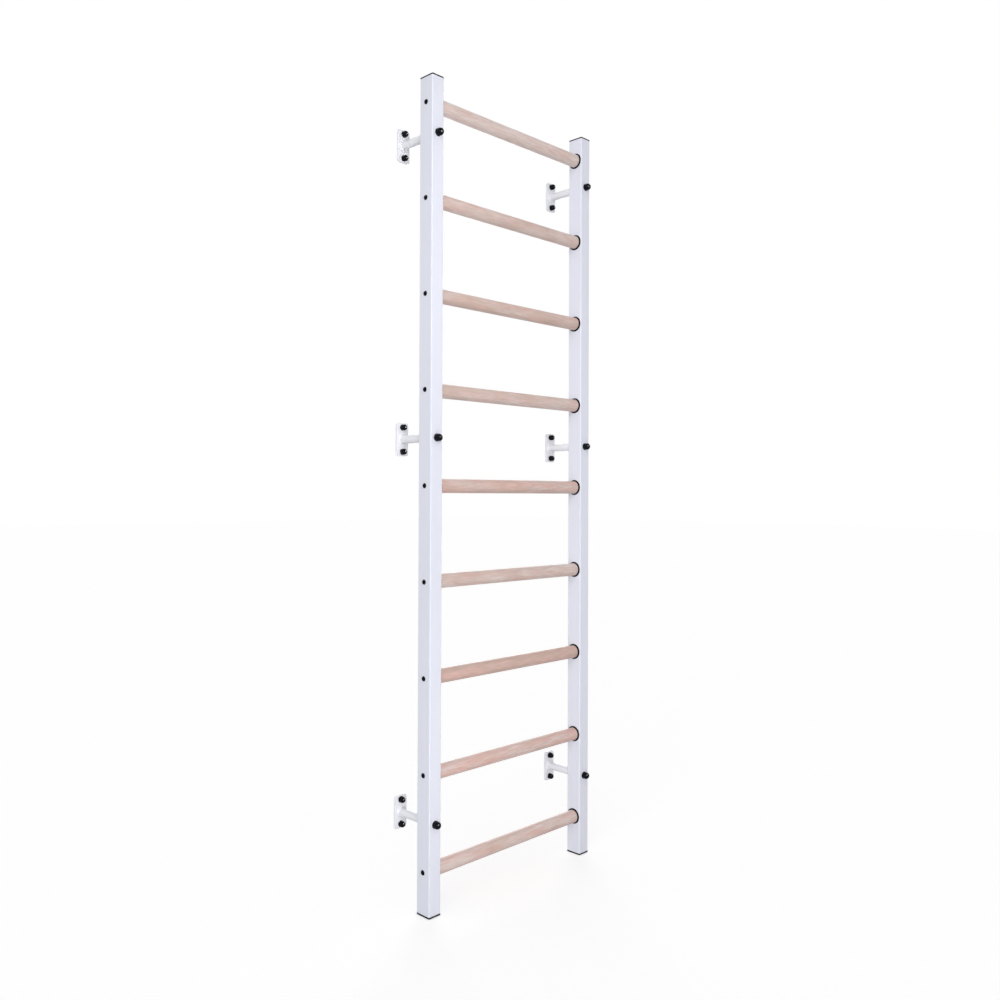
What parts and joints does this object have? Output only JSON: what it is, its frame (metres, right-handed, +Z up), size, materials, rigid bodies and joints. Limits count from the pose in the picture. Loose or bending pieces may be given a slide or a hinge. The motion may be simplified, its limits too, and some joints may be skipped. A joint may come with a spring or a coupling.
{
  "type": "wall bars",
  "caption": "Wall-mounted exercise ladder: steel tube posts, round wooden rungs in plastic collars, and short steel brackets with screw holes that hold it off the wall.",
  "frame": {"origin": "on the floor, in the middle of the overall width and of the overall depth from the front covers to the wall plates", "axes": "+X to the right of someone who stands in front and faces the wall, +Y from the front towards the wall, +Z up"},
  "size_m": [0.648, 0.166, 2.2],
  "materials": {
    "powder_coat": "white powder coat, satin, with a faint orange peel",
    "beech": "sanded beech with a clear matt lacquer, fine straight grain with short flecks",
    "black_plastic": "moulded black polyethylene, matt",
    "black_gloss": "moulded black polypropylene, semi-gloss",
    "black_steel": "black zinc-plated steel",
    "zinc_steel": "bright zinc-plated steel",
    "insert_brass": "turned brass"
  },
  "bodies": {
    "root": {"left_post": "powder_coat", "right_post": "powder_coat", "left_top_cap": "black_plastic", "right_top_cap": "black_plastic", "left_foot_cap": "black_plastic", "right_foot_cap": "black_plastic", "rung_1": "beech", "rung_2": "beech", "rung_3": "beech", "rung_4": "beech", "rung_5": "beech", "rung_6": "beech", "rung_7": "beech", "rung_8": "beech", "rung_9": "beech", "left_bush_1": "black_plastic", "left_bush_2": "black_plastic", "left_bush_3": "black_plastic", "left_bush_4": "black_plastic", "left_bush_5": "black_plastic", "left_bush_6": "black_plastic", "left_bush_7": "black_plastic", "left_bush_8": "black_plastic", "left_bush_9": "black_plastic", "right_bush_1": "black_plastic", "right_bush_2": "black_plastic", "right_bush_3": "black_plastic", "right_bush_4": "black_plastic", "right_bush_5": "black_plastic", "right_bush_6": "black_plastic", "right_bush_7": "black_plastic", "right_bush_8": "black_plastic", "right_bush_9": "black_plastic", "left_rung_screws": "black_steel", "right_rung_screws": "black_steel", "left_rung_inserts": "insert_brass", "right_rung_inserts": "insert_brass", "left_bracket_low": "powder_coat", "left_bracket_middle": "powder_coat", "left_bracket_high": "powder_coat", "right_bracket_low": "powder_coat", "right_bracket_middle": "powder_coat", "right_bracket_high": "powder_coat", "left_bracket_bolts": "zinc_steel", "right_bracket_bolts": "zinc_steel", "left_front_covers": "black_gloss", "right_front_covers": "black_gloss", "left_wall_covers": "black_gloss", "right_wall_covers": "black_gloss"}
  },
  "joints": []
}
